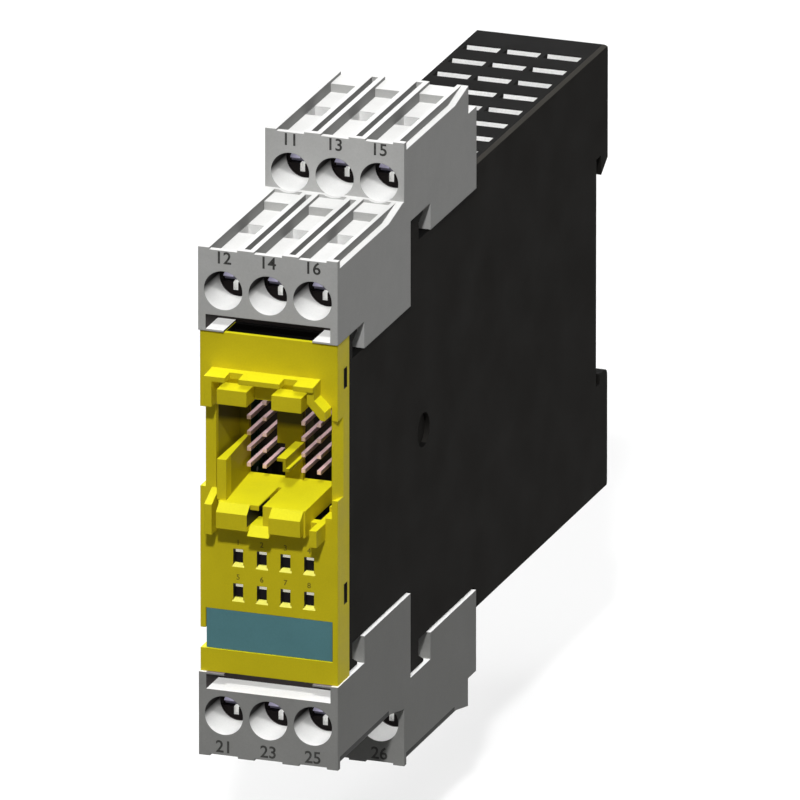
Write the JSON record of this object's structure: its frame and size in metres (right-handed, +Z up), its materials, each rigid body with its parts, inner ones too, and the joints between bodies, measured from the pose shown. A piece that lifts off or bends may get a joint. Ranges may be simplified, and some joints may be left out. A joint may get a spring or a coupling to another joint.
{
  "type": "safety input module",
  "caption": "Narrow rail-mounted safety input module: black housing, yellow front with interface sockets and indicator windows, plug-in stepped screw terminal blocks above and below.",
  "frame": {"origin": "on the plane that the mounting rail bears on, at mid width and at the rail's centre line", "axes": "+X to the right seen from the front, along the rail; +Y to the rear, towards the rail; +Z up"},
  "size_m": [0.0226, 0.1286, 0.1006],
  "materials": {
    "housing_black": "satin",
    "cover_yellow": "satin",
    "label_teal": "satin",
    "block_grey": "satin",
    "black_parts": "matt",
    "coupler_white": "matt",
    "capacitor_can": "satin",
    "board_green": "solder resist over glass fibre",
    "guide_clear": "smoked",
    "led_pale": "moulded",
    "gold_pins": "gold plated",
    "tinned_contacts": "tinned",
    "screw_steel": "zinc plated",
    "clamp_steel": "zinc plated",
    "spring_steel": "spring steel"
  },
  "bodies": {
    "module": {"housing": "housing_black", "front_cover": "cover_yellow", "label_plate": "label_teal", "light_guide": "guide_clear", "status_leds": "led_pale", "main_board": "board_green", "front_board": "board_green", "board_link": "black_parts", "logic_chips": "black_parts", "input_couplers": "coupler_white", "capacitors": "capacitor_can", "power_converter": "black_parts", "interface_header_left": "black_parts", "interface_header_right": "black_parts", "interface_pins_left": "gold_pins", "interface_pins_right": "gold_pins", "rail_spring": "spring_steel", "upper_front_pin_strip": "black_parts", "upper_front_pins": "tinned_contacts", "upper_rear_pin_strip": "black_parts", "upper_rear_pins": "tinned_contacts", "lower_front_pin_strip": "black_parts", "lower_front_pins": "tinned_contacts", "lower_rear_pin_strip": "black_parts", "lower_rear_pins": "tinned_contacts"},
    "upper_block": {"upper_terminal_block": "block_grey", "upper_contact_bars": "tinned_contacts"},
    "clamp_screw_upper_front_1": {"clamp_screw_upper_front_1": "screw_steel"},
    "clamp_cage_upper_front_1": {"clamp_cage_upper_front_1": "clamp_steel"},
    "clamp_screw_upper_front_2": {"clamp_screw_upper_front_2": "screw_steel"},
    "clamp_cage_upper_front_2": {"clamp_cage_upper_front_2": "clamp_steel"},
    "clamp_screw_upper_front_3": {"clamp_screw_upper_front_3": "screw_steel"},
    "clamp_cage_upper_front_3": {"clamp_cage_upper_front_3": "clamp_steel"},
    "clamp_screw_upper_rear_1": {"clamp_screw_upper_rear_1": "screw_steel"},
    "clamp_cage_upper_rear_1": {"clamp_cage_upper_rear_1": "clamp_steel"},
    "clamp_screw_upper_rear_2": {"clamp_screw_upper_rear_2": "screw_steel"},
    "clamp_cage_upper_rear_2": {"clamp_cage_upper_rear_2": "clamp_steel"},
    "clamp_screw_upper_rear_3": {"clamp_screw_upper_rear_3": "screw_steel"},
    "clamp_cage_upper_rear_3": {"clamp_cage_upper_rear_3": "clamp_steel"},
    "lower_block": {"lower_terminal_block": "block_grey", "lower_contact_bars": "tinned_contacts"},
    "clamp_screw_lower_front_1": {"clamp_screw_lower_front_1": "screw_steel"},
    "clamp_cage_lower_front_1": {"clamp_cage_lower_front_1": "clamp_steel"},
    "clamp_screw_lower_front_2": {"clamp_screw_lower_front_2": "screw_steel"},
    "clamp_cage_lower_front_2": {"clamp_cage_lower_front_2": "clamp_steel"},
    "clamp_screw_lower_front_3": {"clamp_screw_lower_front_3": "screw_steel"},
    "clamp_cage_lower_front_3": {"clamp_cage_lower_front_3": "clamp_steel"},
    "clamp_screw_lower_rear_1": {"clamp_screw_lower_rear_1": "screw_steel"},
    "clamp_cage_lower_rear_1": {"clamp_cage_lower_rear_1": "clamp_steel"},
    "clamp_screw_lower_rear_2": {"clamp_screw_lower_rear_2": "screw_steel"},
    "clamp_cage_lower_rear_2": {"clamp_cage_lower_rear_2": "clamp_steel"},
    "clamp_screw_lower_rear_3": {"clamp_screw_lower_rear_3": "screw_steel"},
    "clamp_cage_lower_rear_3": {"clamp_cage_lower_rear_3": "clamp_steel"}
  },
  "joints": [
    {"name": "upper_block_lift", "type": "slide", "parent": "module", "child": "upper_block", "axis": [0, 0, 1], "range_m": [0, 0.016]},
    {"name": "clamp_screw_upper_front_1_turn", "type": "hinge", "parent": "upper_block", "child": "clamp_screw_upper_front_1", "pos_m": [-0.0072, -0.1137, 0.0342], "axis": [0, 1, 0], "range_deg": [0, 2376]},
    {"name": "clamp_cage_upper_front_1_travel", "type": "slide", "parent": "upper_block", "child": "clamp_cage_upper_front_1", "axis": [0, -1, 0], "range_m": [0, 0.0033]},
    {"name": "clamp_screw_upper_front_2_turn", "type": "hinge", "parent": "upper_block", "child": "clamp_screw_upper_front_2", "pos_m": [0, -0.1137, 0.0342], "axis": [0, 1, 0], "range_deg": [0, 2376]},
    {"name": "clamp_cage_upper_front_2_travel", "type": "slide", "parent": "upper_block", "child": "clamp_cage_upper_front_2", "axis": [0, -1, 0], "range_m": [0, 0.0033]},
    {"name": "clamp_screw_upper_front_3_turn", "type": "hinge", "parent": "upper_block", "child": "clamp_screw_upper_front_3", "pos_m": [0.0072, -0.1137, 0.0342], "axis": [0, 1, 0], "range_deg": [0, 2376]},
    {"name": "clamp_cage_upper_front_3_travel", "type": "slide", "parent": "upper_block", "child": "clamp_cage_upper_front_3", "axis": [0, -1, 0], "range_m": [0, 0.0033]},
    {"name": "clamp_screw_upper_rear_1_turn", "type": "hinge", "parent": "upper_block", "child": "clamp_screw_upper_rear_1", "pos_m": [-0.0072, -0.0837, 0.0436], "axis": [0, 1, 0], "range_deg": [0, 2376]},
    {"name": "clamp_cage_upper_rear_1_travel", "type": "slide", "parent": "upper_block", "child": "clamp_cage_upper_rear_1", "axis": [0, -1, 0], "range_m": [0, 0.0033]},
    {"name": "clamp_screw_upper_rear_2_turn", "type": "hinge", "parent": "upper_block", "child": "clamp_screw_upper_rear_2", "pos_m": [0, -0.0837, 0.0436], "axis": [0, 1, 0], "range_deg": [0, 2376]},
    {"name": "clamp_cage_upper_rear_2_travel", "type": "slide", "parent": "upper_block", "child": "clamp_cage_upper_rear_2", "axis": [0, -1, 0], "range_m": [0, 0.0033]},
    {"name": "clamp_screw_upper_rear_3_turn", "type": "hinge", "parent": "upper_block", "child": "clamp_screw_upper_rear_3", "pos_m": [0.0072, -0.0837, 0.0436], "axis": [0, 1, 0], "range_deg": [0, 2376]},
    {"name": "clamp_cage_upper_rear_3_travel", "type": "slide", "parent": "upper_block", "child": "clamp_cage_upper_rear_3", "axis": [0, -1, 0], "range_m": [0, 0.0033]},
    {"name": "lower_block_lift", "type": "slide", "parent": "module", "child": "lower_block", "axis": [0, 0, -1], "range_m": [0, 0.016]},
    {"name": "clamp_screw_lower_front_1_turn", "type": "hinge", "parent": "lower_block", "child": "clamp_screw_lower_front_1", "pos_m": [-0.0072, -0.1137, -0.0342], "axis": [0, 1, 0], "range_deg": [0, 2376]},
    {"name": "clamp_cage_lower_front_1_travel", "type": "slide", "parent": "lower_block", "child": "clamp_cage_lower_front_1", "axis": [0, -1, 0], "range_m": [0, 0.0033]},
    {"name": "clamp_screw_lower_front_2_turn", "type": "hinge", "parent": "lower_block", "child": "clamp_screw_lower_front_2", "pos_m": [0, -0.1137, -0.0342], "axis": [0, 1, 0], "range_deg": [0, 2376]},
    {"name": "clamp_cage_lower_front_2_travel", "type": "slide", "parent": "lower_block", "child": "clamp_cage_lower_front_2", "axis": [0, -1, 0], "range_m": [0, 0.0033]},
    {"name": "clamp_screw_lower_front_3_turn", "type": "hinge", "parent": "lower_block", "child": "clamp_screw_lower_front_3", "pos_m": [0.0072, -0.1137, -0.0342], "axis": [0, 1, 0], "range_deg": [0, 2376]},
    {"name": "clamp_cage_lower_front_3_travel", "type": "slide", "parent": "lower_block", "child": "clamp_cage_lower_front_3", "axis": [0, -1, 0], "range_m": [0, 0.0033]},
    {"name": "clamp_screw_lower_rear_1_turn", "type": "hinge", "parent": "lower_block", "child": "clamp_screw_lower_rear_1", "pos_m": [-0.0072, -0.0837, -0.0436], "axis": [0, 1, 0], "range_deg": [0, 2376]},
    {"name": "clamp_cage_lower_rear_1_travel", "type": "slide", "parent": "lower_block", "child": "clamp_cage_lower_rear_1", "axis": [0, -1, 0], "range_m": [0, 0.0033]},
    {"name": "clamp_screw_lower_rear_2_turn", "type": "hinge", "parent": "lower_block", "child": "clamp_screw_lower_rear_2", "pos_m": [0, -0.0837, -0.0436], "axis": [0, 1, 0], "range_deg": [0, 2376]},
    {"name": "clamp_cage_lower_rear_2_travel", "type": "slide", "parent": "lower_block", "child": "clamp_cage_lower_rear_2", "axis": [0, -1, 0], "range_m": [0, 0.0033]},
    {"name": "clamp_screw_lower_rear_3_turn", "type": "hinge", "parent": "lower_block", "child": "clamp_screw_lower_rear_3", "pos_m": [0.0072, -0.0837, -0.0436], "axis": [0, 1, 0], "range_deg": [0, 2376]},
    {"name": "clamp_cage_lower_rear_3_travel", "type": "slide", "parent": "lower_block", "child": "clamp_cage_lower_rear_3", "axis": [0, -1, 0], "range_m": [0, 0.0033]}
  ],
  "couplings": [
    {"joint": "clamp_screw_upper_front_1_turn", "follows": "clamp_cage_upper_front_1_travel", "rad_per_m": 12566},
    {"joint": "clamp_screw_upper_front_2_turn", "follows": "clamp_cage_upper_front_2_travel", "rad_per_m": 12566},
    {"joint": "clamp_screw_upper_front_3_turn", "follows": "clamp_cage_upper_front_3_travel", "rad_per_m": 12566},
    {"joint": "clamp_screw_upper_rear_1_turn", "follows": "clamp_cage_upper_rear_1_travel", "rad_per_m": 12566},
    {"joint": "clamp_screw_upper_rear_2_turn", "follows": "clamp_cage_upper_rear_2_travel", "rad_per_m": 12566},
    {"joint": "clamp_screw_upper_rear_3_turn", "follows": "clamp_cage_upper_rear_3_travel", "rad_per_m": 12566},
    {"joint": "clamp_screw_lower_front_1_turn", "follows": "clamp_cage_lower_front_1_travel", "rad_per_m": 12566},
    {"joint": "clamp_screw_lower_front_2_turn", "follows": "clamp_cage_lower_front_2_travel", "rad_per_m": 12566},
    {"joint": "clamp_screw_lower_front_3_turn", "follows": "clamp_cage_lower_front_3_travel", "rad_per_m": 12566},
    {"joint": "clamp_screw_lower_rear_1_turn", "follows": "clamp_cage_lower_rear_1_travel", "rad_per_m": 12566},
    {"joint": "clamp_screw_lower_rear_2_turn", "follows": "clamp_cage_lower_rear_2_travel", "rad_per_m": 12566},
    {"joint": "clamp_screw_lower_rear_3_turn", "follows": "clamp_cage_lower_rear_3_travel", "rad_per_m": 12566}
  ]
}
